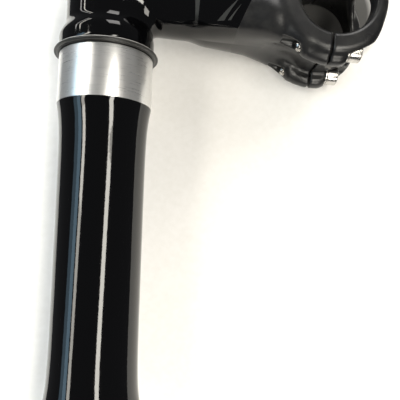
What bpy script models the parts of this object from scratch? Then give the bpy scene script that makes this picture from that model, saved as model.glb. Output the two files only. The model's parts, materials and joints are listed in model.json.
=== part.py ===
"""Bicycle handlebar stem with its own steerer tube, 31.8 mm bar clamp and 39.7 mm steerer seats.

Frame: origin where the steerer axis meets the lower face of the stem head, +Z up the steerer,
+X forward to the handlebar, +Y to the rider's left along the handlebar. Lengths are in millimetres
here and become metres where the shapes are made.
"""
import math

import bmesh
import bpy
from mathutils import Matrix, Vector

MM = 0.001
GAP = 0.3                     # running gap between neighbouring pieces

# Steerer tube
SEAT_R = 19.85                # bare bearing seats, 39.7 mm across
TUBE_R = 18.0                 # tube between the seats
TUBE_BORE_R = 15.4
SPIGOT_R = 15.2               # upper end, bonded into the head
SPIGOT_TOP = 34.0
SPIGOT_BORE_R = 12.8
PILOT_R = 18.2                # short step that centres the dust seal
UPPER_SEAT = (-2.3, -23.6)    # top and bottom of the upper seat
LOWER_SEAT = (-147.0, -173.0)
NECK_LENGTH = 7.7             # the neck closes on the tube by e each such length
PLUG_BORE_R = 16.2            # thread of the lower end
PLUG_BORE_TOP = -157.0

# Stem head and extension
HEAD_R = 17.65
HEAD_TOP = 49.0
HEAD_BASE_R = 20.1
HEAD_BASE_TOP = 5.0           # top of the straight part of the base flange
HEAD_FLARE_TOP = 12.2         # where the flange has closed on the head
HEAD_EDGE = 1.0
CAP_SEAT_R = 15.4
CAP_SEAT_DEPTH = 2.0
CAP_BORE_R = 13.8
EXTENSION_HIGH = 17.3         # half of the extension's height
EXTENSION_WIDE = (16.8, 19.6)  # half of its width, at the head and at the clamp
HOLLOW_R = 9.5                # lightening pocket behind the bar
HOLLOW_DEPTH = 34.0

# Handlebar clamp, in its own frame: x forward along the extension, y along the bar
BAR_X = 95.5
BAR_Z = 22.4
DROP_DEG = 4.0                # the extension drops this much towards the bar
BAR_R = 15.9
BAND_Y = 16.5                 # centre of each clamp band
BAND_HALF = 4.5
BAND_R = 24.8                 # outside of a band, above, below and behind
BAND_FRONT_R = 21.3           # outside of a band at the very front
BAND_EDGE = 3.5               # rounding of a band's outer edges
BORE_EDGE = 1.4               # rounding of the bar bore's edges
BARREL_R = 19.2               # wall between the bands around the window
BARREL_BACK_R = 21.5          # wall between the bands elsewhere
RIDGE_R = 27.8                # top of the ridge that holds each pair of threads
RIDGE_ROUND = 3.6             # half of the ridge's width, and its rounding
SPLIT_X = -1.2                # middle of the slit between body and faceplate
SPLIT_GAP = 0.6
LUG_BACK = -14.0              # rear end of the threads
WINDOW = (11.5, 11.0)         # half width and half height of the faceplate's window

# Faceplate bolts: M5 x 22 cap screws on thin washers
BOLT_Y = 14.5                 # the bolts stand a little inside the middle of the bands
BOLT_Z = 20.9
BOLT_R = 2.5
BOLT_LENGTH = 22.0
BOLT_HEAD_R = 4.25
BOLT_HEAD_HEIGHT = 5.0
BOLT_SOCKET_R = 2.31          # 4 mm across flats
BOLT_SOCKET_DEPTH = 2.6
WASHER_R = 4.5
WASHER_THICK = 0.5
SEAT_X = 5.9                  # floor of the counterbore under the washer
SPOT_R = 4.9
POCKET = (3.4, -21.0)         # radius and rear end of the relief behind the threads

# Dust seal, top cap with its ring, and lower plug with its washer
SEAL_BORE_R = 18.5
SEAL_TOP = -0.3
SEAL_LIP_R = 22.0
CAP_FLANGE_R = 15.1
CAP_BODY_R = 13.5
CAP_BOTTOM = 39.0
RING_Z = 43.2
RING_R = 12.6
RING_SECTION_R = 0.9
PLUG_R = 15.9
PLUG_TOP = -158.5
PLUG_FLANGE_R = 21.6
PLUG_FLANGE_THICK = 3.0
PLUG_HOLE_R = 10.5
PLUG_NOTCHES = 8
PLUG_WASHER_THICK = 1.0

FINE = 48                     # sides of a large turned piece
CLAMP_SIDES = 60
MEDIUM = 36
COARSE = 24                   # sides of a bolt-sized piece

ALONG_X = Matrix.Rotation(math.radians(90), 4, "Y")
ALONG_Y = Matrix.Rotation(math.radians(-90), 4, "X")


def clear_scene():
    for old in list(bpy.data.objects):
        bpy.data.objects.remove(old, do_unlink=True)


def collection(name, hidden=False):
    made = bpy.data.collections.new(name)
    made.hide_render = hidden
    bpy.context.scene.collection.children.link(made)
    return made


def material(name, color, roughness, metallic=0.0):
    made = bpy.data.materials.new(name)
    made.use_nodes = True
    shader = made.node_tree.nodes["Principled BSDF"]
    shader.inputs["Base Color"].default_value = (*color, 1.0)
    shader.inputs["Roughness"].default_value = roughness
    shader.inputs["Metallic"].default_value = metallic
    return made


def at(x=0.0, y=0.0, z=0.0):
    return Matrix.Translation(Vector((x, y, z)) * MM)


def place(name, mesh, group, frame):
    obj = bpy.data.objects.new(name, mesh)
    group.objects.link(obj)
    obj.matrix_world = frame
    if group.hide_render:
        obj.hide_render = True
        obj.display_type = "WIRE"
    return obj


def solid_from(bm, name, group, frame):
    """An object from a bmesh drawn in millimetres."""
    bmesh.ops.scale(bm, vec=(MM, MM, MM), verts=bm.verts)
    mesh = bpy.data.meshes.new(name)
    bm.to_mesh(mesh)
    bm.free()
    return place(name, mesh, group, frame)


def cylinder(name, radius, low, high, group, frame, sides=FINE, end_radius=None):
    """A cylinder or cone along the frame's Z, from low to high."""
    bm = bmesh.new()
    end = radius if end_radius is None else end_radius
    bmesh.ops.create_cone(
        bm, cap_ends=True, segments=sides, radius1=radius, radius2=end, depth=high - low
    )
    half_side = Matrix.Rotation(math.pi / sides, 3, "Z")  # keeps its edges off a turned piece's
    bmesh.ops.rotate(bm, matrix=half_side, verts=bm.verts)
    bmesh.ops.translate(bm, vec=(0, 0, (low + high) / 2), verts=bm.verts)
    return solid_from(bm, name, group, frame)


def box(name, low, high, group, frame):
    bm = bmesh.new()
    bmesh.ops.create_cube(bm, size=1.0)
    size = Vector(high) - Vector(low)
    bmesh.ops.scale(bm, vec=size, verts=bm.verts)
    bmesh.ops.translate(bm, vec=(Vector(high) + Vector(low)) / 2, verts=bm.verts)
    return solid_from(bm, name, group, frame)


def turned(name, profile, group, frame, sides=FINE, closed=False):
    """A solid of revolution about the frame's Z; the profile runs down its outer side."""
    bm = bmesh.new()
    points = [bm.verts.new((r, 0.0, z)) for r, z in profile]
    for first, second in zip(points, points[1:]):
        bm.edges.new((first, second))
    if closed:
        bm.edges.new((points[-1], points[0]))
    obj = solid_from(bm, name, group, frame)
    screw = obj.modifiers.new("turn", "SCREW")
    screw.axis = "Z"
    screw.steps = sides
    screw.render_steps = sides
    screw.use_merge_vertices = True
    screw.merge_threshold = 0.00001
    screw.use_smooth_shade = True
    return obj


def tapered_capsule(name, start, start_r, end, end_r, group, frame):
    """A ball at each end with the cone that touches both."""
    run = Vector(end) - Vector(start)
    lean = math.degrees(math.asin((start_r - end_r) / run.length))
    profile = arc((0.0, run.length), end_r, 90, lean, 5)
    profile += arc((0.0, 0.0), start_r, lean, -90, 6)
    profile[0] = (0.0, run.length + end_r)
    profile[-1] = (0.0, -start_r)
    aim = run.to_track_quat("Z", "Y").to_matrix().to_4x4()
    return turned(name, profile, group, frame @ at(*start) @ aim, sides=24)


def combine(obj, tools, operation):
    for tool in tools:
        step = obj.modifiers.new(tool.name, "BOOLEAN")
        step.operation = operation
        step.solver = "EXACT"
        step.object = tool
    return obj


def bake(obj, look, sharp_deg=32):
    """Turns the evaluated shape into the object's own smooth-shaded mesh."""
    graph = bpy.context.evaluated_depsgraph_get()
    mesh = bpy.data.meshes.new_from_object(obj.evaluated_get(graph))
    mesh.name = obj.name
    obj.modifiers.clear()
    obj.data = mesh
    mesh.materials.clear()
    mesh.materials.append(look)
    mesh.shade_smooth()
    mesh.set_sharp_from_angle(angle=math.radians(sharp_deg))
    return obj


def arc(centre, radius, start_deg, end_deg, steps):
    """Points on an arc, as (r, z) pairs of a profile."""
    turns = [start_deg + (end_deg - start_deg) * i / steps for i in range(steps + 1)]
    return [
        (centre[0] + radius * math.cos(math.radians(t)), centre[1] + radius * math.sin(math.radians(t)))
        for t in turns
    ]


# ---------------------------------------------------------------- steerer tube and its seal


def neck_radius(distance):
    return TUBE_R + (SEAT_R - TUBE_R) * math.exp(-distance / NECK_LENGTH)


def steerer_tube(group, look):
    steps = (2.0, 5.0, 9.0, 15.0, 24.0, 38.0)
    upper_neck = [(neck_radius(d), UPPER_SEAT[1] - d) for d in steps]
    lower_neck = [(neck_radius(d), LOWER_SEAT[0] + d) for d in reversed(steps)]
    outside = [
        (SPIGOT_R - 0.6, SPIGOT_TOP),
        (SPIGOT_R, SPIGOT_TOP - 0.6),
        (SPIGOT_R, -GAP),
        (PILOT_R, -GAP),
        (PILOT_R, UPPER_SEAT[0]),
        (SEAT_R - 0.3, UPPER_SEAT[0]),
        (SEAT_R, UPPER_SEAT[0] - 0.3),
        (SEAT_R, UPPER_SEAT[1]),
        *upper_neck,
        *lower_neck,
        (SEAT_R, LOWER_SEAT[0]),
        (SEAT_R, LOWER_SEAT[1] + 0.8),
        (SEAT_R - 0.8, LOWER_SEAT[1]),
    ]
    inside = [
        (PLUG_BORE_R + 0.6, LOWER_SEAT[1]),
        (PLUG_BORE_R, LOWER_SEAT[1] + 0.6),
        (PLUG_BORE_R, PLUG_BORE_TOP),
        (TUBE_BORE_R, PLUG_BORE_TOP + 1.0),
        (TUBE_BORE_R, -8.0),
        (SPIGOT_BORE_R, -3.0),
        (SPIGOT_BORE_R, SPIGOT_TOP),
    ]
    tube = turned("steerer_tube", outside + inside, group, at(), closed=True)
    return bake(tube, look, sharp_deg=20)


def dust_seal(group, look):
    low = UPPER_SEAT[0] + GAP
    profile = [
        (SEAL_BORE_R, SEAL_TOP),
        (SEAL_LIP_R - 0.9, SEAL_TOP),
        (SEAL_LIP_R - 0.1, SEAL_TOP - 0.35),
        (SEAL_LIP_R, SEAL_TOP - 0.6),
        (SEAL_LIP_R - 0.35, SEAL_TOP - 0.85),
        (SEAT_R + 0.5, low),
        (SEAL_BORE_R, low),
    ]
    return bake(turned("dust_seal", profile, group, at(), closed=True), look)


# ---------------------------------------------------------------- stem body


def head_blank(group):
    flare = [
        (HEAD_R + (HEAD_BASE_R - HEAD_R) * 0.5 * (1 + math.cos(math.pi * t)),
         HEAD_BASE_TOP + (HEAD_FLARE_TOP - HEAD_BASE_TOP) * t)
        for t in (1.0, 0.8, 0.6, 0.4, 0.2, 0.0)
    ]
    profile = [
        (0.0, HEAD_TOP),
        *arc((HEAD_R - HEAD_EDGE, HEAD_TOP - HEAD_EDGE), HEAD_EDGE, 90, 0, 3),
        *flare,
        (HEAD_BASE_R, 0.5),
        (HEAD_BASE_R - 0.5, 0.0),
        (0.0, 0.0),
    ]
    return turned("stem_body", profile, group, at())


def extension(group, clamp):
    """An oval bar from the steerer axis to the clamp, wider at the clamp."""
    reach = BAR_X / math.cos(math.radians(DROP_DEG))
    bm = bmesh.new()
    bmesh.ops.create_cone(
        bm, cap_ends=True, segments=48, radius1=1.0, radius2=1.0, depth=reach - 8.0
    )
    sides = [e for e in bm.edges if abs(e.verts[0].co.z - e.verts[1].co.z) > 1.0]
    bmesh.ops.subdivide_edges(bm, edges=sides, cuts=5, use_grid_fill=True)
    bmesh.ops.rotate(bm, matrix=Matrix.Rotation(math.radians(90), 3, "Y"), verts=bm.verts)
    bmesh.ops.translate(bm, vec=(-reach / 2 - 4.0, 0, 0), verts=bm.verts)
    narrow, wide = EXTENSION_WIDE
    for vert in bm.verts:
        share = min(1.0, max(0.0, 1.0 + vert.co.x / reach))
        vert.co.y *= narrow + (wide - narrow) * share ** 3
        vert.co.z *= EXTENSION_HIGH
    return solid_from(bm, "extension_blank", group, clamp)


def smooth_step(low, high, value):
    share = min(1.0, max(0.0, (value - low) / (high - low)))
    return share * share * (3.0 - 2.0 * share)


def clamp_radius(turn, y):
    """Outside of the clamp at an angle from straight ahead, at a place along the bar."""
    off_band = abs(abs(y) - BAND_Y)
    radius = BARREL_R + (BARREL_BACK_R - BARREL_R) * smooth_step(38, 54, turn)
    if off_band <= BAND_HALF:
        crest = BAND_FRONT_R + (BAND_R - BAND_FRONT_R) * smooth_step(12, 62, turn)
        edge = max(0.0, off_band - BAND_HALF + BAND_EDGE)
        radius = max(radius, crest - BAND_EDGE + math.sqrt(BAND_EDGE ** 2 - edge ** 2))
    off_bolt = abs(abs(y) - BOLT_Y)
    if off_bolt < RIDGE_ROUND:
        ridge = RIDGE_R - RIDGE_ROUND + math.sqrt(RIDGE_ROUND ** 2 - off_bolt ** 2)
        share = smooth_step(58, 84, turn) * (1.0 - smooth_step(115, 128, turn))
        radius += max(0.0, ridge - radius) * share
    return radius


def clamp_blank(name, group, clamp):
    """Both bands, their bolt ridges and the wall between them, before the bar bore is cut."""
    half_band = [4.5, 4.3, 3.8, 3.1, 2.2, 1.1]
    one_side = [BAND_Y + d for d in half_band] + [BAND_Y] + [BAND_Y - d for d in reversed(half_band)]
    one_side += [11.4, BOLT_Y - RIDGE_ROUND, 8.0]
    stations = one_side + [0.0] + [-y for y in reversed(one_side)]
    bm = bmesh.new()
    rings = []
    for y in stations:
        ring = []
        for i in range(CLAMP_SIDES):
            turn = 360.0 * (i + 0.5) / CLAMP_SIDES
            radius = clamp_radius(min(turn, 360.0 - turn), y)
            angle = math.radians(turn)
            ring.append(bm.verts.new((radius * math.cos(angle), y, radius * math.sin(angle))))
        rings.append(ring)
    for first, second in zip(rings, rings[1:]):
        for i in range(CLAMP_SIDES):
            j = (i + 1) % CLAMP_SIDES
            bm.faces.new((first[i], first[j], second[j], second[i]))
    bm.faces.new(rings[0])
    bm.faces.new(rings[-1])
    bmesh.ops.recalc_face_normals(bm, faces=bm.faces)
    return solid_from(bm, name, group, clamp)


def bar_bore(name, group, clamp):
    """The 31.8 mm bore, flared by a rounding at both clamp faces."""
    face = BAND_Y + BAND_HALF
    left = [(BAR_R + BORE_EDGE, face + 6.0)]
    left += arc((BAR_R + BORE_EDGE, face - BORE_EDGE), BORE_EDGE, 90, 180, 3)
    right = [(r, -y) for r, y in reversed(left)]
    profile = [(0.0, face + 6.0)] + left + right + [(0.0, -face - 6.0)]
    return turned(name, profile, group, clamp @ ALONG_Y)


def bolt_frames(clamp):
    """Name and frame of each bolt: its Z is the bolt axis, forward."""
    return [
        (f"{level}_{hand}", clamp @ at(0, side * BOLT_Y, up * BOLT_Z) @ ALONG_X)
        for level, up in (("upper", 1), ("lower", -1))
        for hand, side in (("left", 1), ("right", -1))
    ]


def stem_body(group, tools, clamp, look):
    body = head_blank(group)
    adds = [extension(tools, clamp), clamp_blank("rear_clamp", tools, clamp)]
    for side in (-1, 1):
        for up in (-1, 1):
            adds.append(
                tapered_capsule(
                    f"flank_{side:+d}_{up:+d}", (-50, side * 7.5, up * 7.0), 8.6,
                    (-25, side * 12.2, up * 9.6), 7.6, tools, clamp)
            )
            adds.append(
                tapered_capsule(
                    f"shoulder_{side:+d}_{up:+d}", (-25.4, side * 12.1, up * 9.5), 7.3,
                    (-11.5, side * 14.6, up * 18.0), 5.6, tools, clamp)
            )
    combine(body, adds, "UNION")

    split = SPLIT_X - SPLIT_GAP / 2
    cuts = [
        box("rear_split", (split, -40, -40), (60, 40, 40), tools, clamp),
        bar_bore("rear_bar_bore", tools, clamp),
        cylinder("hollow", HOLLOW_R - 1.5, -BAR_R - HOLLOW_DEPTH, -BAR_R + 4, tools,
                 clamp @ ALONG_X, sides=COARSE, end_radius=HOLLOW_R),
        cylinder("steerer_bore", SPIGOT_R + GAP, -2, SPIGOT_TOP + 2.5, tools, at()),
        cylinder("cap_bore", CAP_BORE_R, SPIGOT_TOP + 1, HEAD_TOP + 2, tools, at()),
        cylinder("cap_seat", CAP_SEAT_R, HEAD_TOP - CAP_SEAT_DEPTH, HEAD_TOP + 2, tools, at()),
    ]
    for name, frame in bolt_frames(clamp):
        cuts.append(cylinder(f"thread_{name}", BOLT_R + GAP, LUG_BACK - 1, 2, tools, frame, COARSE))
        cuts.append(cylinder(f"pocket_{name}", POCKET[0], POCKET[1], LUG_BACK, tools, frame, COARSE))
    combine(body, cuts, "DIFFERENCE")
    return bake(body, look)


# ---------------------------------------------------------------- faceplate and its fasteners


def faceplate(group, tools, clamp, look):
    plate = clamp_blank("faceplate", group, clamp)
    split = SPLIT_X + SPLIT_GAP / 2
    window = cylinder("window", 1.0, 2.0, 40.0, tools, clamp @ ALONG_X, sides=40)
    for vert in window.data.vertices:
        vert.co.x *= WINDOW[1]
        vert.co.y *= WINDOW[0]
    cuts = [
        box("front_split", (-60, -40, -40), (split, 40, 40), tools, clamp),
        bar_bore("front_bar_bore", tools, clamp),
        window,
    ]
    for name, frame in bolt_frames(clamp):
        cuts.append(cylinder(f"hole_{name}", BOLT_R + GAP, -8, 30, tools, frame, COARSE))
        cuts.append(cylinder(f"spot_{name}", SPOT_R, SEAT_X, 30, tools, frame, COARSE))
    combine(plate, cuts, "DIFFERENCE")
    return bake(plate, look)


def bolt_washers(group, clamp, look):
    low = SEAT_X + GAP
    profile = [
        (WASHER_R, low + WASHER_THICK),
        (WASHER_R, low),
        (BOLT_R + GAP, low),
        (BOLT_R + GAP, low + WASHER_THICK),
    ]
    for name, frame in bolt_frames(clamp):
        washer = turned(f"bolt_washer_{name}", profile, group, frame, sides=COARSE, closed=True)
        bake(washer, look)


def faceplate_bolts(group, tools, clamp, look):
    seat = SEAT_X + 2 * GAP + WASHER_THICK
    top = seat + BOLT_HEAD_HEIGHT
    profile = [
        (0.0, top),
        (BOLT_HEAD_R - 0.5, top),
        (BOLT_HEAD_R, top - 0.5),
        (BOLT_HEAD_R, seat),
        (BOLT_R, seat),
        (BOLT_R, seat - BOLT_LENGTH + 0.7),
        (BOLT_R - 0.7, seat - BOLT_LENGTH),
        (0.0, seat - BOLT_LENGTH),
    ]
    for name, frame in bolt_frames(clamp):
        bolt = turned(f"faceplate_bolt_{name}", profile, group, frame, sides=COARSE)
        socket = cylinder(f"socket_{name}", BOLT_SOCKET_R, top - BOLT_SOCKET_DEPTH, top + 2,
                          tools, frame, sides=6)
        combine(bolt, [socket], "DIFFERENCE")
        bake(bolt, look)


# ---------------------------------------------------------------- top cap and lower plug


def top_cap(group, look):
    floor = HEAD_TOP - CAP_SEAT_DEPTH + GAP
    groove = (RING_SECTION_R + GAP, RING_R - RING_SECTION_R - GAP)
    profile = [
        (0.0, HEAD_TOP - 0.9),
        (CAP_FLANGE_R - 3.0, HEAD_TOP - 0.5),
        (CAP_FLANGE_R - 0.4, HEAD_TOP - 0.3),
        (CAP_FLANGE_R, HEAD_TOP - 0.7),
        (CAP_FLANGE_R, floor),
        (CAP_BODY_R, floor),
        (CAP_BODY_R, RING_Z + groove[0]),
        (groove[1], RING_Z + groove[0]),
        (groove[1], RING_Z - groove[0]),
        (CAP_BODY_R, RING_Z - groove[0]),
        (CAP_BODY_R, CAP_BOTTOM + 0.6),
        (CAP_BODY_R - 0.6, CAP_BOTTOM),
        (9.6, CAP_BOTTOM),
        (9.6, floor - 2.0),
        (0.0, floor - 1.6),
    ]
    return bake(turned("top_cap", profile, group, at(), sides=MEDIUM), look)


def top_cap_ring(group, look):
    section = arc((RING_R, RING_Z), RING_SECTION_R, 90, -270, 8)[:-1]
    return bake(turned("top_cap_ring", section, group, at(), sides=MEDIUM, closed=True), look)


def lower_plug(group, tools, look):
    face = LOWER_SEAT[1] - 2 * GAP - PLUG_WASHER_THICK
    foot = face - PLUG_FLANGE_THICK
    profile = [
        (PLUG_R - 0.8, PLUG_TOP),
        (PLUG_R, PLUG_TOP - 0.8),
        (PLUG_R, face),
        (PLUG_FLANGE_R, face),
        (PLUG_FLANGE_R, foot + 0.8),
        (PLUG_FLANGE_R - 0.8, foot),
        (PLUG_HOLE_R, foot),
        (PLUG_HOLE_R, PLUG_TOP),
    ]
    plug = turned("lower_plug", profile, group, at(), sides=MEDIUM, closed=True)
    cuts = []
    for i in range(PLUG_NOTCHES):
        turn = Matrix.Rotation(2 * math.pi * i / PLUG_NOTCHES, 4, "Z")
        cuts.append(
            cylinder(f"notch_{i}", 1.7, foot - 2, foot + 7, tools, turn @ at(PLUG_HOLE_R), 12)
        )
    combine(plug, cuts, "DIFFERENCE")
    return bake(plug, look)


def lower_washer(group, look):
    top = LOWER_SEAT[1] - GAP
    profile = [
        (PLUG_FLANGE_R - 0.4, top),
        (PLUG_FLANGE_R - 0.4, top - PLUG_WASHER_THICK),
        (PLUG_R + GAP, top - PLUG_WASHER_THICK),
        (PLUG_R + GAP, top),
    ]
    return bake(turned("lower_washer", profile, group, at(), sides=MEDIUM, closed=True), look)


def main():
    clear_scene()
    stem = collection("handlebar_stem")
    tools = collection("cutters", hidden=True)
    clamp = at(BAR_X, 0, BAR_Z) @ Matrix.Rotation(math.radians(DROP_DEG), 4, "Y")

    gloss_black = material("gloss_black_paint", (0.006, 0.006, 0.007), 0.08)
    satin_black = material("satin_black_anodised", (0.020, 0.020, 0.021), 0.38)
    bare = material("turned_aluminium", (0.80, 0.79, 0.77), 0.30, 1.0)
    steel = material("stainless_steel", (0.68, 0.66, 0.62), 0.24, 1.0)
    rubber = material("seal_rubber", (0.035, 0.035, 0.033), 0.50)
    plastic = material("cap_plastic", (0.015, 0.015, 0.016), 0.35)

    stem_body(stem, tools, clamp, gloss_black)
    steerer_tube(stem, bare)
    dust_seal(stem, rubber)
    faceplate(stem, tools, clamp, satin_black)
    bolt_washers(stem, clamp, steel)
    faceplate_bolts(stem, tools, clamp, steel)
    top_cap(stem, plastic)
    top_cap_ring(stem, rubber)
    lower_plug(stem, tools, bare)
    lower_washer(stem, steel)


main()
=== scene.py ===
"""Looks of a bicycle handlebar stem with its own steerer tube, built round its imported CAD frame.

Shapes are worked out in millimetres and become metres in the meshes. The clamp frame has its origin
on the handlebar axis, x forward along the bolts, y along the bar and z up.
"""
import json
import math

import bpy
import numpy as np
from mathutils import Matrix, Vector

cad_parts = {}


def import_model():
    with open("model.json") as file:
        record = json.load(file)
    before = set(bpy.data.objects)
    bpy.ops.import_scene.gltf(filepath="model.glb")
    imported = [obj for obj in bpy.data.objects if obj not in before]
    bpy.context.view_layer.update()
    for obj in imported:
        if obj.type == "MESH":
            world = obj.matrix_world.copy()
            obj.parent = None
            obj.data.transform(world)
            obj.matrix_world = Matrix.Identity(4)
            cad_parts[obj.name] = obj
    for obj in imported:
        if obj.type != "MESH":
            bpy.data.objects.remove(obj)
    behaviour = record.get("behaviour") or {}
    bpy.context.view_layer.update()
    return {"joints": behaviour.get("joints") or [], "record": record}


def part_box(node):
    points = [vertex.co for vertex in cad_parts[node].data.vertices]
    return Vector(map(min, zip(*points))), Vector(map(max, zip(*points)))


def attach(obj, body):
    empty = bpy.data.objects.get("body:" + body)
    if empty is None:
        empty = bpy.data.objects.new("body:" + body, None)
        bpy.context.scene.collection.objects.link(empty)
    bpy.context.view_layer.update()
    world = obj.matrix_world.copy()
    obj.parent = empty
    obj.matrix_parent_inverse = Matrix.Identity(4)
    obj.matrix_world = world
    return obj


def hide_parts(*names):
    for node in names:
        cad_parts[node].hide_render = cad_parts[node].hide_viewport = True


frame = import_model()

MM = 0.001
GAP = 0.3                     # clearance between pieces


def opening(name):
    """Centre of one of the record's openings, in millimetres."""
    box = next(o["box_m"] for o in frame["record"]["physics"]["openings"] if o["name"] == name)
    return (np.array(box[0]) + np.array(box[1])) / 2 / MM


RELEASE = next(j for j in frame["joints"] if j["name"] == "faceplate_release")
DROP = math.atan2(-RELEASE["axis"][2], RELEASE["axis"][0])
BAR = opening("bar_bore")
HEAD_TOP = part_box("stem_body")[1][2] / MM
STEERER_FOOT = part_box("steerer_tube")[0][2] / MM
CLAMP_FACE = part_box("stem_body")[1][1] / MM
PLUG_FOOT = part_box("lower_plug")[0][2] / MM

# Stem head and extension
HEAD_R = 17.65
HEAD_BASE_R = 20.1
HEAD_FLARE = (5.0, 12.2)      # the head widens from the upper height to the lower
CAP_SEAT_R = 15.4
CAP_SEAT_DEPTH = 2.0
CAP_BORE_R = 13.8
SPIGOT_R = 15.2
SPIGOT_TOP = 34.0
EXTENSION_HIGH = 17.3         # half the height
EXTENSION_WIDE = (16.8, 19.6)  # half the width, at the head and at the bar
# Tapered bars beside the arm, in the clamp frame: start, its radius, end, its radius
FLANK = ((-50, 7.5, 7.0), 8.6, (-25, 12.2, 9.6), 7.6)
SHOULDER = ((-25.4, 12.1, 9.5), 7.3, (-11.5, 14.6, 18.0), 5.6)
HOLLOW_R = (8.0, 9.5)         # at its end and at the bar bore
HOLLOW_DEPTH = 34.0

# Handlebar clamp. The turns are angles round the bar, in degrees from straight ahead.
BAR_R = 15.9
BAND_HALF = 4.5               # half the width of a band
BAND_Y = CLAMP_FACE - BAND_HALF
BAND_R = 24.8
BAND_FRONT_R = 21.3
BAND_TURN = (12, 62)
BAND_EDGE = 3.5
BORE_EDGE = 1.8
BARREL_R = 19.2               # the wall between the bands
BARREL_BACK_R = 21.5
BARREL_TURN = (38, 54)
RIDGE_R = 27.8
RIDGE_DIP = 5.5               # how far a ridge sinks beyond its ends
RIDGE_RISE = (56, 84)
RIDGE_FALL = (114, 129)
RIDGE_ROUND = 3.6
SPLIT_BACK = -1.5             # x of the body's face at the split
SPLIT_FRONT = -0.9            # x of the faceplate's face there
LUG_BACK = -14.0              # x where the threaded lugs end
WINDOW = (11.5, 11.0)         # half axes, across and up

# Bolts and washers
BOLT_Y = 14.5
BOLT_Z = 20.9
BOLT_R = 2.5
BOLT_LENGTH = 22.0
BOLT_HEAD = (4.25, 5.0)       # radius and height
THREAD_PITCH = 0.8
SEAT_X = 5.9                  # x of the bolt seats in the faceplate
SPOT_R = 4.9
WASHER = (4.5, 0.5)           # radius and thickness
POCKET = (3.4, -21.0)         # radius, and the x of its far end

# Steerer tube
SEAT_R = 19.85
TUBE_R = 18.0
TUBE_BORE_R = 15.4
SPIGOT_BORE_R = 12.8
FOOT_BORE_R = 16.2
NECK_R = 18.2                 # the steerer inside the dust seal
UPPER_SEAT = (-2.3, -23.6)
LOWER_SEAT_TOP = -147.0
FLARE_RUN = 46.0              # the flares are modelled this far from the seats
FLARE_DECAY = 7.7

# Top cap and lower plug
CAP_GROOVE = (44.4, 42.0)
CAP_GROOVE_R = 11.4
CAP_PLUG_R = 13.5
CAP_FOOT = 39.0
PLUG_TOP = -158.5
PLUG_HOLE_R = 10.5
PLUG_FLANGE_R = 21.6
PLUG_NOTCHES = 8
PLUG_NOTCH_R = 1.7
PLUG_NOTCH_DEPTH = 7.0

CELL = 0.45                   # grid of the blended forms


# ---------------------------------------------------------------- blended forms


def smooth_min(a, b, k):
    """Union of two distance fields with a fillet about k wide."""
    h = np.maximum(k - np.abs(a - b), 0.0) / k
    return np.minimum(a, b) - 0.25 * k * h * h


def smooth_max(a, b, k):
    """Overlap of two distance fields with a fillet about k wide."""
    return -smooth_min(-a, -b, k)


def smooth_step(low, high, value):
    """Rises from 0 at low to 1 at high with level ends."""
    share = np.clip((value - low) / (high - low), 0.0, 1.0)
    return share * share * (3.0 - 2.0 * share)


def to_clamp(x, z):
    """Row-frame x and z as x and z of the clamp frame."""
    c, s = math.cos(DROP), math.sin(DROP)
    dx, dz = x - BAR[0], z - BAR[2]
    return dx * c - dz * s, dx * s + dz * c


def oval(a, b, half_a, half_b):
    """Signed distance, near enough, from an ellipse."""
    f = np.sqrt((a / half_a) ** 2 + (b / half_b) ** 2) + 1e-9
    slope = np.sqrt((a / half_a ** 2) ** 2 + (b / half_b ** 2) ** 2) / f + 1e-9
    return (f - 1.0) / slope


def capsule(x, y, z, start, start_r, end, end_r):
    """Distance from a tapered bar with round ends."""
    run = np.array(end) - np.array(start)
    share = ((x - start[0]) * run[0] + (y - start[1]) * run[1] + (z - start[2]) * run[2]) / run.dot(run)
    share = np.clip(share, 0.0, 1.0)
    dx, dy, dz = (p - s - share * r for p, s, r in zip((x, y, z), start, run))
    return np.sqrt(dx * dx + dy * dy + dz * dz) - start_r - share * (end_r - start_r)


def head_field(x, y, z):
    """The round head, wider at its base, in the row frame."""
    low, high = HEAD_FLARE
    share = np.clip((z - low) / (high - low), 0.0, 1.0)
    radius = HEAD_R + (HEAD_BASE_R - HEAD_R) * 0.5 * (1.0 + np.cos(math.pi * share))
    side = (np.hypot(x, y) - radius) * 0.93
    return smooth_max(smooth_max(side, z - HEAD_TOP, 1.8), -z, 1.0)


def extension_field(x, y, z):
    """The oval arm from the head to the bar, in the clamp frame."""
    reach = BAR[0] / math.cos(DROP)
    share = np.clip(1.0 + x / reach, 0.0, 1.0)
    wide = EXTENSION_WIDE[0] + (EXTENSION_WIDE[1] - EXTENSION_WIDE[0]) * share ** 3
    ends = np.maximum(x + 8.0, -reach - x)
    return np.maximum(oval(y, z, wide, EXTENSION_HIGH), ends)


def clamp_field(x, y, z):
    """Bands, the wall between them and the bolt ridges, round the bar axis."""
    y = np.abs(y)
    turn = np.degrees(np.arctan2(np.abs(z), x))
    r = np.hypot(x, z)
    crest = BAND_FRONT_R + (BAND_R - BAND_FRONT_R) * smooth_step(*BAND_TURN, turn)
    out = r - crest + BAND_EDGE
    side = np.abs(y - BAND_Y) - BAND_HALF + BAND_EDGE
    band = np.hypot(np.maximum(out, 0), np.maximum(side, 0)) + np.minimum(np.maximum(out, side), 0)
    band -= BAND_EDGE
    wall = BARREL_R + (BARREL_BACK_R - BARREL_R) * smooth_step(*BARREL_TURN, turn)
    barrel = np.maximum(r - wall, y - BAND_Y)
    share = smooth_step(*RIDGE_RISE, turn) * (1.0 - smooth_step(*RIDGE_FALL, turn))
    top = RIDGE_R - RIDGE_ROUND - RIDGE_DIP * (1.0 - share)
    ridge = np.hypot(np.maximum(r - top, 0), y - BOLT_Y) - RIDGE_ROUND
    return smooth_min(smooth_min(band, barrel, 2.6), ridge, 1.3)


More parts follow.
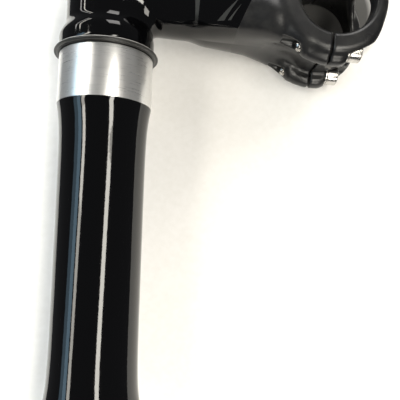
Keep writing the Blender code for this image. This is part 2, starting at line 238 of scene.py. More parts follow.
def bar_field(x, y, z):
    """The bar bore, flared where it meets the clamp faces."""
    face = CLAMP_FACE - np.abs(y)
    flare = BORE_EDGE - np.sqrt(BORE_EDGE ** 2 - np.clip(BORE_EDGE - face, 0.0, BORE_EDGE) ** 2)
    return np.hypot(x, z) - BAR_R - flare


def bolt_axis(y, z):
    """Distance from the nearest bolt axis, across the bolts."""
    return np.hypot(np.abs(y) - BOLT_Y, np.abs(z) - BOLT_Z)


def body_field(x, y, z):
    """The stem body: arm, rear half of the clamp and head, less the bores."""
    cx, cz = to_clamp(x, z)
    side, level = np.abs(y), np.abs(cz)
    muscle = smooth_min(capsule(cx, side, level, *FLANK), capsule(cx, side, level, *SHOULDER), 4.0)
    arm = smooth_min(extension_field(cx, y, cz), muscle, 6.0)
    body = smooth_min(arm, clamp_field(cx, y, cz), 2.4)
    body = smooth_min(body, head_field(x, y, z), 5.0)
    body = smooth_max(body, side - CLAMP_FACE, 0.8)
    body = smooth_max(body, cx - SPLIT_BACK, 1.0)

    body = smooth_max(body, -bar_field(cx, y, cz), 0.9)
    depth = np.clip((-BAR_R - cx) / HOLLOW_DEPTH, 0.0, 1.0)
    hollow = np.hypot(y, cz) - HOLLOW_R[1] + (HOLLOW_R[1] - HOLLOW_R[0]) * depth
    hollow = smooth_max(hollow, -BAR_R - HOLLOW_DEPTH - cx, 3.0)
    hollow = np.maximum(hollow, cx + BAR_R - 4.0)
    body = smooth_max(body, -hollow, 1.0)

    r = np.hypot(x, y)
    bore = np.maximum(r - SPIGOT_R - GAP, z - SPIGOT_TOP - 2.5)
    bore = np.minimum(bore, r - CAP_BORE_R)
    seat = np.maximum(r - CAP_SEAT_R, HEAD_TOP - CAP_SEAT_DEPTH - z)
    body = smooth_max(body, -np.minimum(bore, seat), 0.4)

    bolt = bolt_axis(y, cz)
    thread = np.maximum(bolt - BOLT_R - 0.25, np.maximum(LUG_BACK - 1.0 - cx, cx - 2.0))
    pocket = np.maximum(bolt - POCKET[0], np.maximum(POCKET[1] - cx, cx - LUG_BACK))
    body = smooth_max(body, -thread, 0.3)
    return smooth_max(body, -pocket, 0.9)


def plate_field(x, y, z):
    """The faceplate: front half of the clamp, less its window and bolt holes."""
    cx, cz = to_clamp(x, z)
    plate = clamp_field(cx, y, cz)
    plate = smooth_max(plate, np.abs(y) - CLAMP_FACE, 0.8)
    plate = smooth_max(plate, SPLIT_FRONT - cx, 1.0)
    plate = smooth_max(plate, -bar_field(cx, y, cz), 0.9)
    window = np.maximum(oval(y, cz, *WINDOW), 2.0 - cx)
    plate = smooth_max(plate, -window, 2.2)
    bolt = bolt_axis(y, cz)
    hole = np.minimum(bolt - BOLT_R - GAP, np.maximum(bolt - SPOT_R, SEAT_X - cx))
    return smooth_max(plate, -hole, 0.5)


def surface_net(values, low, cell):
    """Points and quads of the zero surface of a grid of distances, negative inside."""
    shape = np.array(values.shape)
    strides = np.array([shape[1] * shape[2], shape[2], 1])
    inside = values < 0
    flat = values.ravel()
    total = np.zeros(flat.size)
    places = np.zeros((flat.size, 3))
    crossings = []
    for axis in range(3):
        near = np.take(inside, range(shape[axis] - 1), axis)
        far = np.take(inside, range(1, shape[axis]), axis)
        spot = np.argwhere(near != far)
        start = spot @ strides
        share = flat[start] / (flat[start] - flat[start + strides[axis]])
        point = spot.astype(float)
        point[:, axis] += share
        others = [strides[o] for o in range(3) if o != axis]
        for back in (0, others[0], others[1], others[0] + others[1]):
            np.add.at(total, start - back, 1)
            np.add.at(places, start - back, point)
        crossings.append((start, others, near[tuple(spot.T)]))
    used = np.flatnonzero(total)
    number = np.full(flat.size, -1)
    number[used] = np.arange(used.size)
    points = low + cell * places[used] / total[used, None]
    quads = []
    for axis, (start, (one, two), rising) in enumerate(crossings):
        loop = np.stack([start - one - two, start - two, start, start - one], axis=1)
        flip = rising if axis == 1 else ~rising
        loop[flip] = loop[flip][:, ::-1]
        quads.append(number[loop])
    return points, np.concatenate(quads)


def settle(field, points, cell):
    """Moves points onto the field's zero surface."""
    step = 0.05
    for _ in range(3):
        x, y, z = points.T
        value = field(x, y, z)
        slope = np.stack([
            field(x + step, y, z) - field(x - step, y, z),
            field(x, y + step, z) - field(x, y - step, z),
            field(x, y, z + step) - field(x, y, z - step),
        ], axis=1) / (2 * step)
        move = -value[:, None] * slope / (np.sum(slope ** 2, axis=1)[:, None] + 1e-6)
        points = points + np.clip(move, -0.4 * cell, 0.4 * cell)
    return points


def blended(name, field, low, high, look, cell=CELL):
    """A smooth mesh of a distance field inside a box given in millimetres."""
    low, high = np.array(low, float), np.array(high, float)
    counts = np.ceil((high - low) / cell).astype(int) + 1
    axes = [low[i] + cell * np.arange(counts[i]) for i in range(3)]
    x, y, z = np.meshgrid(*axes, indexing="ij", sparse=True)
    values = np.broadcast_to(field(x, y, z), counts).copy()
    points, quads = surface_net(values, low, cell)
    points = settle(field, points, cell)
    return new_piece(name, points, quads, look)


def new_piece(name, points, faces, look):
    """A smooth-shaded mesh of points in millimetres."""
    mesh = bpy.data.meshes.new(name)
    mesh.from_pydata((np.asarray(points) * MM).tolist(), [], [list(map(int, f)) for f in faces])
    mesh.validate()
    mesh.update()
    mesh.shade_smooth()
    obj = bpy.data.objects.new(name, mesh)
    bpy.context.scene.collection.objects.link(obj)
    mesh.materials.append(look)
    return obj


# ---------------------------------------------------------------- turned pieces


def arc(r, z, radius, start_deg, end_deg, steps):
    """Rings of a rounded edge about the centre (r, z)."""
    turns = np.radians(np.linspace(start_deg, end_deg, steps + 1))
    return [(r + radius * math.cos(t), z + radius * math.sin(t)) for t in turns]


def lathe(name, rings, look, sides=192, closed=False, place=None, sharp=28):
    """A piece turned about z. A ring is (radius, z), and a radius can be a function of the angle.

    The rings run down the outer side. A radius of 0 closes the piece on its axis.
    """
    angles = 2 * math.pi * np.arange(sides) / sides
    points, loops = [], []
    for radius, z in rings:
        first = len(points)
        if not callable(radius) and radius == 0:
            points.append((0.0, 0.0, z))
            loops.append([first] * sides)
            continue
        r = radius(angles) if callable(radius) else np.full(sides, radius)
        points += list(zip(r * np.cos(angles), r * np.sin(angles), np.full(sides, z)))
        loops.append(list(range(first, first + sides)))
    faces = []
    pairs = list(zip(loops, loops[1:])) + ([(loops[-1], loops[0])] if closed else [])
    for upper, lower in pairs:
        for i in range(sides):
            j = (i + 1) % sides
            face = []
            for corner in (upper[i], lower[i], lower[j], upper[j]):
                if corner not in face:
                    face.append(corner)
            faces.append(face)
    points = np.array(points)
    if place is not None:
        points = points @ np.array(place.to_3x3()).T + np.array(place.translation)
    obj = new_piece(name, points, faces, look)
    obj.data.set_sharp_from_angle(angle=math.radians(sharp))
    return obj


def flare(distance):
    """Radius of the black tube at a distance from a bearing seat."""
    return TUBE_R + (SEAT_R - TUBE_R) * math.exp(-distance / FLARE_DECAY)


def steerer_tube(paint, bare):
    """The steerer, with bare metal at its seats and in its bore."""
    upper = [(flare(d), UPPER_SEAT[1] - d) for d in np.linspace(0.6, FLARE_RUN, 40)]
    lower = [(flare(d), LOWER_SEAT_TOP + d) for d in np.linspace(FLARE_RUN, 0.6, 40)]
    foot = STEERER_FOOT
    rings = [
        (SPIGOT_R - 0.6, SPIGOT_TOP), (SPIGOT_R, SPIGOT_TOP - 0.6), (SPIGOT_R, -GAP),
        (NECK_R, -GAP), (NECK_R, UPPER_SEAT[0]), (SEAT_R - 0.25, UPPER_SEAT[0]),
        (SEAT_R, UPPER_SEAT[0] - 0.25), (SEAT_R, UPPER_SEAT[1] + 0.15),
        (SEAT_R - 0.05, UPPER_SEAT[1]), (SEAT_R - 0.09, UPPER_SEAT[1] - 0.05),
        *upper, *lower,
        (SEAT_R, LOWER_SEAT_TOP), (SEAT_R, foot + 0.8), (SEAT_R - 0.8, foot),
        (FOOT_BORE_R + 0.6, foot), (FOOT_BORE_R, foot + 0.6), (FOOT_BORE_R, -157.0),
        (TUBE_BORE_R, -156.0), (TUBE_BORE_R, -8.0), (SPIGOT_BORE_R, -3.0), (SPIGOT_BORE_R, SPIGOT_TOP),
    ]
    tube = lathe("steerer", rings, paint, sides=256, closed=True, sharp=20)
    tube.data.materials.append(bare)
    seats = ((UPPER_SEAT[1], SPIGOT_TOP + 1), (foot - 1, LOWER_SEAT_TOP))
    for face in tube.data.polygons:
        radius = face.center.xy.length / MM
        seated = any(low < face.center.z / MM < high for low, high in seats)
        bored = radius < 17.0
        face.material_index = int(seated or bored)
    return tube


def dust_seal(look):
    top, low = -GAP, UPPER_SEAT[0] + GAP
    rings = [
        (18.5, top), (20.6, top), *arc(21.35, top - 0.5, 0.5, 90, 0, 5),
        (22.0, top - 0.75), *arc(21.75, top - 0.95, 0.25, 0, -70, 4),
        (21.2, low + 0.42), (20.75, low + 0.36), (20.6, low + 0.2), (20.45, low),
        (SEAT_R + 0.25, low), (18.5, low),
    ]
    return lathe("dust_seal_ring", rings, look, sides=256, closed=True)


def bolt_places():
    """Name and frame of each bolt: z of the frame is the bolt axis, forward, in millimetres."""
    clamp = Matrix.Translation(Vector(BAR)) @ Matrix.Rotation(DROP, 4, "Y")
    along = Matrix.Rotation(math.radians(90), 4, "Y")
    for level, up in (("upper", 1), ("lower", -1)):
        for hand, side in (("left", 1), ("right", -1)):
            spot = Matrix.Translation(Vector((0, side * BOLT_Y, up * BOLT_Z)))
            yield f"{level}_{hand}", clamp @ spot @ along


def hexagon(apothem):
    """Radius round a six-sided ring."""
    return lambda angle: apothem / np.cos((angle + math.pi / 6) % (math.pi / 3) - math.pi / 6)


def thread(z, depth=0.42):
    """Radius round a ring of the bolt's thread."""
    def radius(angle):
        phase = (z / THREAD_PITCH + angle / (2 * math.pi)) % 1.0
        ramp = np.clip(np.abs(phase * 2 - 1) * 1.5 - 0.25, 0.0, 1.0)
        return BOLT_R - depth * ramp
    return radius


def bolt(name, place, look):
    head_r, head_high = BOLT_HEAD
    seat = SEAT_X + 2 * GAP + WASHER[1]
    top, tip = seat + head_high, seat - BOLT_LENGTH
    threads = np.arange(seat - 8.5, tip + 0.7, -THREAD_PITCH / 10)
    rings = [
        (0, top - 2.7), (hexagon(1.98), top - 2.3), (hexagon(2.0), top - 0.2), (hexagon(2.22), top),
        (head_r - 0.55, top), *arc(head_r - 0.45, top - 0.45, 0.45, 80, 0, 5),
        (head_r, seat + 0.35), (head_r - 0.12, seat + 0.15), (head_r - 0.3, seat),
        (BOLT_R + 0.15, seat), (BOLT_R, seat - 0.2), (BOLT_R, seat - 8.0),
        *[(thread(z), z) for z in threads],
        (BOLT_R - 0.45, tip + 0.55), (BOLT_R - 0.9, tip), (0, tip),
    ]
    return lathe(name, rings, look, sides=48, place=place)


def washer(name, place, look):
    r, thick = WASHER
    low = SEAT_X + GAP
    high = low + thick
    rings = [
        (r - 0.12, high), (r, high - 0.12), (r, low + 0.08), (r - 0.08, low),
        (BOLT_R + 0.38, low), (BOLT_R + GAP, low + 0.08), (BOLT_R + GAP, high - 0.08),
        (BOLT_R + 0.38, high),
    ]
    return lathe(name, rings, look, sides=96, closed=True, place=place)


def top_cap(look):
    """A thin flange over a plug with a groove for the rubber ring."""
    (groove_top, groove_low), plug = CAP_GROOVE, CAP_PLUG_R
    floor = HEAD_TOP - CAP_SEAT_DEPTH + GAP
    rings = [
        (0, HEAD_TOP - 1.25), (6.0, HEAD_TOP - 1.2), (11.4, HEAD_TOP - 1.0),
        *arc(12.2, HEAD_TOP - 0.75, 0.45, 200, 90, 5), (13.9, HEAD_TOP - GAP),
        *arc(14.6, HEAD_TOP - 0.8, 0.5, 90, 0, 5), (15.1, floor),
        (plug, floor), (plug, groove_top), (CAP_GROOVE_R, groove_top), (CAP_GROOVE_R, groove_low),
        (plug, groove_low), (plug, CAP_FOOT + 0.6), (plug - 0.6, CAP_FOOT),
        (9.9, CAP_FOOT), (9.6, CAP_FOOT + 0.3), (9.6, floor - 2.4),
        (9.2, floor - 2.0), (0, floor - 1.6),
    ]
    return lathe("head_cap", rings, look)


def cap_ring(look):
    return lathe("cap_seal_ring", arc(12.6, 43.2, 0.9, 90, -245, 22), look, closed=True)


def notched(angle):
    """Radius of the plug's hole, with a round notch at each of the tool's teeth."""
    spacing = 2 * math.pi / PLUG_NOTCHES
    off = (angle + spacing / 2) % spacing - spacing / 2
    reach = PLUG_NOTCH_R ** 2 - (PLUG_HOLE_R * np.sin(off)) ** 2
    notch = PLUG_HOLE_R * np.cos(off) + np.sqrt(np.maximum(reach, 0))
    return np.where(reach > 0, notch, PLUG_HOLE_R)


def lower_plug(look):
    """A threaded plug with a flange, turned by a toothed tool."""
    face, rim = PLUG_FOOT + 3.0, PLUG_FLANGE_R
    threads = np.arange(PLUG_TOP - 0.8, face + 1.6, -0.125)
    rings = [
        (15.2, PLUG_TOP), (15.55, PLUG_TOP - 0.3),
        *[(15.72 + 0.18 * math.sin(2 * math.pi * z), z) for z in threads],
        (15.3, face + 1.2), (15.3, face), (rim - 0.3, face), (rim, face - 0.3),
        (rim, PLUG_FOOT + 0.6), *arc(rim - 0.6, PLUG_FOOT + 0.6, 0.6, 0, -90, 5),
        (12.9, PLUG_FOOT), (lambda angle: np.maximum(notched(angle), PLUG_HOLE_R + 0.3), PLUG_FOOT),
        (notched, PLUG_FOOT + 0.3), (notched, PLUG_FOOT + PLUG_NOTCH_DEPTH),
        (PLUG_HOLE_R, PLUG_FOOT + PLUG_NOTCH_DEPTH + 0.01),
        (PLUG_HOLE_R, PLUG_TOP - 0.3), (PLUG_HOLE_R + 0.3, PLUG_TOP),
    ]
    return lathe("preload_plug_body", rings, look, sides=256, closed=True)


def lower_washer(look):
    high = STEERER_FOOT - GAP
    low = high - 1.0
    outer, inner, edge = 21.2, 16.2, 0.15
    rings = [
        (outer - edge, high), (outer, high - edge), (outer, low + edge), (outer - edge, low),
        (inner + edge, low), (inner, low + edge), (inner, high - edge), (inner + edge, high),
    ]
    return lathe("preload_washer_ring", rings, look, closed=True)


# ---------------------------------------------------------------- materials


class Look:
    """A node material with a Principled shader and short names for the nodes it is built from."""

    def __init__(self, name):
        self.material = bpy.data.materials.new(name)
        self.material.use_nodes = True
        self.tree = self.material.node_tree
        self.shader = self.tree.nodes["Principled BSDF"]
        self.coords = self.tree.nodes.new("ShaderNodeTexCoord").outputs["Object"]
        split = self.tree.nodes.new("ShaderNodeSeparateXYZ")
        self.wire(self.coords, split.inputs[0])
        self.x, self.y, self.z = split.outputs

    def wire(self, source, socket):
        if hasattr(source, "is_linked"):
            self.tree.links.new(source, socket)
        else:
            socket.default_value = source

    def set(self, **values):
        for name, value in values.items():
            self.wire(value, self.shader.inputs[name.replace("_", " ")])

    def math(self, operation, a, b=0.0, clamp=False):
        node = self.tree.nodes.new("ShaderNodeMath")
        node.operation = operation
        node.use_clamp = clamp
        self.wire(a, node.inputs[0])
        self.wire(b, node.inputs[1])
        return node.outputs[0]

    def ramp(self, value, low, high, start=0.0, end=1.0):
        """Straight ramp from start to end as value goes from low to high, held outside."""
        node = self.tree.nodes.new("ShaderNodeMapRange")
        for socket, number in zip(node.inputs[:5], (value, low, high, start, end)):
            self.wire(number, socket)
        return node.outputs[0]

    def noise(self, scale, detail=3.0, stretch=(1, 1, 1), roughness=0.5):
        place = self.tree.nodes.new("ShaderNodeMapping")
        place.inputs["Scale"].default_value = stretch
        self.wire(self.coords, place.inputs["Vector"])
        node = self.tree.nodes.new("ShaderNodeTexNoise")
        self.wire(place.outputs[0], node.inputs["Vector"])
        node.inputs["Scale"].default_value = scale
        node.inputs["Detail"].default_value = detail
        node.inputs["Roughness"].default_value = roughness
        return node.outputs["Fac"]

    def mix(self, share, a, b):
        node = self.tree.nodes.new("ShaderNodeMix")
        node.data_type = "RGBA"
        self.wire(share, node.inputs["Factor"])
        self.wire(a, node.inputs["A"])
        self.wire(b, node.inputs["B"])
        return node.outputs["Result"]

    def bump(self, height, distance, strength=1.0, base=None):
        node = self.tree.nodes.new("ShaderNodeBump")
        node.inputs["Distance"].default_value = distance
        node.inputs["Strength"].default_value = strength
        self.wire(height, node.inputs["Height"])
        if base is not None:
            self.wire(base, node.inputs["Normal"])
        return node.outputs[0]


def rgb(red, green, blue):
    return (red, green, blue, 1.0)


GLOSS = rgb(0.0007, 0.0007, 0.0009)
SATIN = rgb(0.0065, 0.0065, 0.0070)
SATIN_WORN = rgb(0.0170, 0.0168, 0.0160)
STRIPE = rgb(0.030, 0.031, 0.030)

PAINT_EDGE = 50.75            # x where the gloss ends, at the height of the head's lower face
PAINT_EDGE_LEAN = 0.47
LINE_X = 37.9                 # thin line across the arm, wider towards the top


def gloss_roughness(look):
    """Smooth paint with patches of thin dust."""
    return look.ramp(look.noise(1400.0, 2.0), 0.35, 0.75, 0.035, 0.09)


def satin_roughness(look, low):
    return look.ramp(look.noise(70.0, 3.0), 0.3, 0.7, low, low + 0.07)


def satin_tone(look):
    worn = look.ramp(look.noise(170.0, 5.0, roughness=0.65), 0.42, 0.72)
    return look.mix(worn, SATIN, SATIN_WORN)


def gloss_black(name):
    """Smooth black paint with faint orange peel."""
    look = Look(name)
    look.set(Base_Color=GLOSS, Roughness=gloss_roughness(look))
    look.set(Normal=look.bump(look.noise(260.0, 2.0), 0.00006, 0.35))
    return look.material


def slanted_bar(look, offset, slope, half, foot, top):
    """Mask of a bar that leans forward on the side of the extension, pointed at its top."""
    along = look.math("SUBTRACT", look.math("DIVIDE", look.x, MM), offset)
    height = look.math("DIVIDE", look.z, MM)
    off = look.math("ABSOLUTE", look.math("SUBTRACT", along, look.math("MULTIPLY", height, slope)))
    width = look.ramp(height, foot, top, half, 0.05)
    inside = look.math("LESS_THAN", off, width)
    inside = look.math("MULTIPLY", inside, look.math("GREATER_THAN", height, foot))
    return look.math("MULTIPLY", inside, look.math("LESS_THAN", height, top))


def body_paint():
    """Gloss black on the head and the near extension, satin black beyond a slanted edge."""
    look = Look("stem_paint")
    x_mm = look.math("DIVIDE", look.x, MM)
    z_mm = look.math("DIVIDE", look.z, MM)
    edge = look.math("SUBTRACT", x_mm, look.math("MULTIPLY", z_mm, PAINT_EDGE_LEAN))
    satin = look.ramp(edge, PAINT_EDGE, PAINT_EDGE + 0.2)
    line = look.math("ABSOLUTE", look.math("SUBTRACT", x_mm, LINE_X))
    line = look.math("LESS_THAN", line, look.ramp(z_mm, 6.0, 24.0, 0.25, 1.2))
    line = look.math("MULTIPLY", line, look.ramp(z_mm, 11.0, 15.0))
    marks = look.math("MAXIMUM", line, slanted_bar(look, 37.6, 0.88, 1.4, 11.5, 19.5))
    marks = look.math("MAXIMUM", marks, slanted_bar(look, 42.0, 0.80, 0.6, 11.5, 17.0))
    painted = look.mix(marks, look.mix(satin, GLOSS, satin_tone(look)), STRIPE)

    rough = look.ramp(satin, 0.0, 1.0, gloss_roughness(look), satin_roughness(look, 0.27))
    rough = look.math("ADD", rough, look.math("MULTIPLY", marks, 0.03))
    look.set(Base_Color=painted, Roughness=rough)
    peel = look.bump(look.noise(260.0, 2.0), 0.00006, 0.30)
    grain = look.math("MULTIPLY", look.noise(5200.0, 3.0), satin)
    look.set(Normal=look.bump(grain, 0.00002, 0.5, base=peel))
    return look.material


def satin_black(name):
    """Fine-grained satin finish."""
    look = Look(name)
    look.set(Base_Color=satin_tone(look), Roughness=satin_roughness(look, 0.26))
    look.set(Normal=look.bump(look.noise(5200.0, 3.0), 0.00002, 0.5))
    return look.material


def turned_metal(name, tone, rough, stretch=(1, 1, 60), metallic=1.0):
    """Lathe-turned metal: fine rings round the axis, with a few handling marks."""
    look = Look(name)
    rings = look.noise(90.0, 4.0, stretch=stretch, roughness=0.65)
    marks = look.noise(240.0, 4.0, stretch=(1, 1, 0.25))
    darker = rgb(*(0.92 * part for part in tone[:3]))
    look.set(Base_Color=look.mix(look.ramp(marks, 0.52, 0.72), tone, darker), Metallic=metallic)
    look.set(Roughness=look.ramp(rings, 0.3, 0.7, rough - 0.04, rough + 0.04))
    look.set(Normal=look.bump(rings, 0.000004, 0.5))
    return look.material


def bolt_steel():
    """Bright steel with small darker marks."""
    look = Look("bright_bolt_steel")
    marks = look.noise(500.0, 4.0)
    tone = look.mix(look.ramp(marks, 0.45, 0.7), rgb(0.58, 0.56, 0.53), rgb(0.42, 0.40, 0.38))
    look.set(Base_Color=tone, Metallic=1.0, Roughness=look.ramp(marks, 0.3, 0.7, 0.16, 0.30))
    look.set(Normal=look.bump(marks, 0.00002, 0.4))
    return look.material


def rubber(name, tone):
    """The look itself, so that a caller can add to it before taking its material."""
    look = Look(name)
    grain = look.noise(900.0, 4.0)
    worn = look.noise(120.0, 3.0)
    lighter = rgb(*(1.8 * part for part in tone[:3]))
    look.set(Base_Color=look.mix(look.ramp(worn, 0.45, 0.7), tone, lighter))
    look.set(Roughness=look.ramp(worn, 0.3, 0.7, 0.36, 0.52))
    look.set(Normal=look.bump(grain, 0.00004, 0.5))
    return look


def seal_rubber():
    """Dark rubber with painted highlights at its outer edge and along one raised line below."""
    look = rubber("seal_rubber", rgb(0.008, 0.008, 0.0075))
    dark = look.shader.inputs["Base Color"].links[0].from_socket
    squares = look.math("ADD", look.math("MULTIPLY", look.x, look.x),
                        look.math("MULTIPLY", look.y, look.y))
    radius = look.math("DIVIDE", look.math("SQRT", squares), MM)
    # Painted highlights: the rounded outer edge of the lip and a thin ring on its underside get a light
    # grey colour, broken up by noise.
    edge = look.math("MULTIPLY", look.ramp(radius, 21.6, 21.8), look.ramp(look.z, -0.00078, -0.00064))
    line = look.math("ABSOLUTE", look.math("SUBTRACT", radius, 20.95))
    line = look.ramp(line, 0.06, 0.16, 0.22, 0.0)
    patchy = look.ramp(look.noise(300.0, 3.0), 0.3, 0.7, 0.6, 1.0)
    share = look.math("MULTIPLY", look.math("MAXIMUM", edge, line), patchy)
    look.set(Base_Color=look.mix(share, dark, rgb(0.42, 0.41, 0.39)))
    return look.material


def cap_plastic():
    """Moulded plastic with a fine spark-eroded grain."""
    look = Look("moulded_plastic")
    spark = look.noise(2600.0, 3.0)
    look.set(Base_Color=rgb(0.012, 0.012, 0.0125), Roughness=look.ramp(spark, 0.3, 0.7, 0.34, 0.46))
    look.set(Normal=look.bump(spark, 0.00004, 0.5))
    return look.material


# ---------------------------------------------------------------- assembly


def settle_piece(piece, body, slot, *nodes):
    """Attaches a piece to its moving body and hides the nodes that it stands for. The slot is not used.
    """
    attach(piece, body)
    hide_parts(*nodes)


def build_stem():
    paint = body_paint()
    body = blended("stem_forging", body_field, (-23, -24, -9), (98, 24, HEAD_TOP + 4), paint)
    settle_piece(body, "stem", "body_paint", "stem_body")

    bare = turned_metal("turned_aluminium", rgb(0.87, 0.865, 0.85), 0.30, metallic=0.93)
    settle_piece(steerer_tube(gloss_black("steerer_paint"), bare),
                 "stem", "steerer_paint", "steerer_tube")
    settle_piece(dust_seal(seal_rubber()), "stem", "seal", "dust_seal")

    plate = blended("front_clamp_plate", plate_field, (88, -24, -12), (124, 24, 56),
                    satin_black("plate_satin"), cell=0.4)
    settle_piece(plate, "front_clamp", "faceplate", "faceplate")

    steel = bolt_steel()
    plain = turned_metal("washer_steel", rgb(0.62, 0.60, 0.57), 0.28, stretch=(1, 1, 1))
    for name, place in bolt_places():
        settle_piece(bolt(f"clamp_bolt_{name}", place, steel),
                     f"bolt_{name}", "bolt", f"faceplate_bolt_{name}")
        settle_piece(washer(f"clamp_washer_{name}", place, plain),
                     "front_clamp", "washer", f"bolt_washer_{name}")

    settle_piece(top_cap(cap_plastic()), "cap", "cap", "top_cap")
    settle_piece(cap_ring(rubber("ring_rubber", rgb(0.012, 0.012, 0.012)).material),
                 "cap", "ring", "top_cap_ring")
    plug_metal = turned_metal("plug_aluminium", rgb(0.74, 0.74, 0.75), 0.30)
    settle_piece(lower_plug(plug_metal), "preload_plug", "plug", "lower_plug")
    settle_piece(lower_washer(plain), "preload_washer", "plug_washer", "lower_washer")


# ---------------------------------------------------------------- stage


# Lengths from here on are in metres, unless MM follows them.
PAPER_Y = 0.0224              # the part lies on its left side on the paper
PAPER = ((-0.062, 0.150), (-0.200, 0.075))
SHADE_FROM_BAR = (10.0, 14.0)  # middle of the painted contact shadow on the paper, in millimetres
SHADE_REACH = (0.0190, 0.0280)
AIM = (0.0, 0.0, -0.08)       # the panels face this point


def paper():
    """A pale sheet that the part lies on, with a painted dark contact shadow beside the bar clamp. Its
    back is clear, so the part shows from there too.
    """
    (left, right), (low, high) = PAPER
    corners = [(left, low), (right, low), (right, high), (left, high)]
    mesh = bpy.data.meshes.new("paper")
    mesh.from_pydata([(x, PAPER_Y, z) for x, z in corners], [], [(0, 1, 2, 3)])
    obj = bpy.data.objects.new("paper", mesh)
    bpy.context.scene.collection.objects.link(obj)
    look = Look("pale_paper")
    fibre = look.noise(420.0, 4.0)
    tone = look.mix(look.ramp(fibre, 0.3, 0.7), rgb(0.86, 0.845, 0.815), rgb(0.90, 0.885, 0.86))
    # Painted shadow: the paper's colour goes dark in a disc beside the clamp, standing in for the shade
    # under it.
    beside = look.math("SUBTRACT", look.x, (BAR[0] + SHADE_FROM_BAR[0]) * MM)
    above = look.math("SUBTRACT", look.z, (BAR[2] + SHADE_FROM_BAR[1]) * MM)
    squares = look.math("ADD", look.math("MULTIPLY", beside, beside),
                        look.math("MULTIPLY", above, above))
    shade = look.ramp(look.math("SQRT", squares), *SHADE_REACH)
    look.set(Base_Color=look.mix(shade, rgb(0.065, 0.064, 0.061), tone), Roughness=0.75)
    clear = look.tree.nodes.new("ShaderNodeBsdfTransparent")
    sides = look.tree.nodes.new("ShaderNodeNewGeometry")
    pick = look.tree.nodes.new("ShaderNodeMixShader")
    look.wire(sides.outputs["Backfacing"], pick.inputs[0])
    look.wire(look.shader.outputs[0], pick.inputs[1])
    look.wire(clear.outputs[0], pick.inputs[2])
    look.wire(pick.outputs[0], look.tree.nodes["Material Output"].inputs["Surface"])
    mesh.materials.append(look.material)


def around(azimuth, distance, height):
    """A point round the steerer axis. Azimuth is in degrees from the camera's side towards the bar."""
    turn = math.radians(azimuth)
    return Vector((distance * math.sin(turn), -distance * math.cos(turn), height))


def panel(name, top, foot, wide, radiance, color, mirrored):
    """A soft light panel of a given brightness between two points, turned to the part."""
    top, foot = around(*top), around(*foot)
    light = bpy.data.lights.new(name, "AREA")
    light.shape = "RECTANGLE"
    light.size, light.size_y = wide, (top - foot).length
    light.energy = radiance * math.pi * light.size * light.size_y
    light.color = color
    obj = bpy.data.objects.new(name, light)
    up = (top - foot).normalized()
    side = up.cross((top + foot) / 2 - Vector(AIM)).normalized()
    turn = Matrix((side, up, side.cross(up))).transposed().to_4x4()
    obj.matrix_world = Matrix.Translation((top + foot) / 2) @ turn
    obj.visible_camera = False
    obj.visible_glossy = mirrored
    bpy.context.scene.collection.objects.link(obj)


CREAM, PLAIN, SKY = (1.0, 0.96, 0.87), (1.0, 0.98, 0.95), (0.50, 0.78, 1.0)
WARM, COOL = (1.0, 0.97, 0.91), (0.92, 0.965, 1.0)

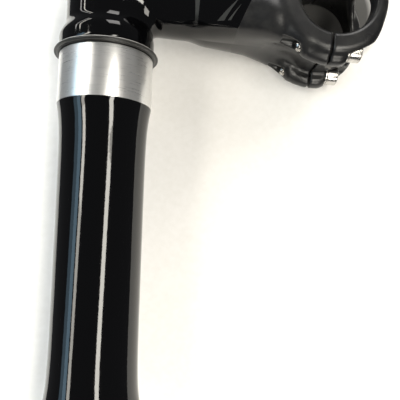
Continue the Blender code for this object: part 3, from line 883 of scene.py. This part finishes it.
# Panels: name, top and foot as azimuth, distance and height, then width, radiance and colour.
# The first list also shows in glossy surfaces: it makes the long lines on the black tube.
MIRRORED_PANELS = [
    ("right_tip", (28, 0.68, 0.14), (26, 0.68, 0.05), 0.10, 6.0, CREAM),
    ("right_strip", (26, 0.68, 0.05), (16, 0.68, -0.42), 0.11, 15.0, CREAM),
    ("left_upper", (-35, 0.80, 0.32), (-43, 0.80, -0.02), 0.10, 13.0, CREAM),
    ("left_lower", (-43, 0.80, -0.02), (-50, 0.80, -0.35), 0.10, 8.0, CREAM),
    ("left_high", (-60, 0.80, 1.60), (-60, 0.80, 0.34), 0.035, 14.0, CREAM),
    ("left_thin", (-72, 0.80, 1.60), (-72, 0.80, 0.34), 0.030, 8.0, PLAIN),
    ("window_near", (-48, 0.80, 0.30), (-61, 0.80, -0.35), 0.12, 3.2, SKY),
    ("window_far", (-58, 0.80, 0.30), (-70, 0.80, -0.35), 0.14, 1.3, SKY),
    ("low_right", (30, 0.60, -0.52), (30, 0.50, -0.85), 0.30, 8.0, CREAM),
    ("high_right", (24, 0.28, 0.62), (24, 0.55, 0.40), 0.26, 5.0, PLAIN),
]
FILL_PANELS = [
    ("right_above", (80, 0.60, 0.85), (80, 0.75, 0.45), 0.45, 20.0, WARM),
    ("right_below", (80, 0.75, -0.55), (80, 0.60, -0.95), 0.45, 13.0, WARM),
    ("left_wide", (-78, 0.70, 0.50), (-78, 0.75, -0.30), 0.40, 10.0, COOL),
]


def lights():
    for row in MIRRORED_PANELS:
        panel(*row, mirrored=True)
    for row in FILL_PANELS:
        panel(*row, mirrored=False)


def world():
    """Dim light from all sides. The camera sees a pale surround instead."""
    made = bpy.data.worlds.new("studio")
    made.use_nodes = True
    nodes, links = made.node_tree.nodes, made.node_tree.links
    room = nodes["Background"]
    room.inputs["Color"].default_value = rgb(0.95, 0.97, 1.0)
    room.inputs["Strength"].default_value = 0.10
    pale = nodes.new("ShaderNodeBackground")
    pale.inputs["Color"].default_value = rgb(0.86, 0.86, 0.85)
    pick = nodes.new("ShaderNodeMixShader")
    path = nodes.new("ShaderNodeLightPath")
    links.new(path.outputs["Is Camera Ray"], pick.inputs[0])
    links.new(room.outputs[0], pick.inputs[1])
    links.new(pale.outputs[0], pick.inputs[2])
    links.new(pick.outputs[0], nodes["World Output"].inputs["Surface"])
    bpy.context.scene.world = made


def camera():
    """The photograph's view, from a fit to points of the steerer, the clamp and the bolts."""
    data = bpy.data.cameras.new("camera")
    data.lens = 43.0
    data.sensor_width = 36.0
    data.clip_start, data.clip_end = 0.01, 10.0
    obj = bpy.data.objects.new("camera", data)
    spot = Vector((0.030, -0.2034, -0.0782))
    ahead = Vector((0.0591, 0.9950, 0.0811)).normalized()
    side = ahead.cross(Vector((-0.0326, -0.0793, 0.9963))).normalized()
    up = side.cross(ahead)
    turn = Matrix((side, up, -ahead)).transposed().to_4x4()
    obj.matrix_world = Matrix.Translation(spot) @ turn
    bpy.context.scene.collection.objects.link(obj)
    bpy.context.scene.camera = obj


build_stem()
paper()
lights()
world()
camera()
bpy.context.scene.view_settings.view_transform = "Standard"
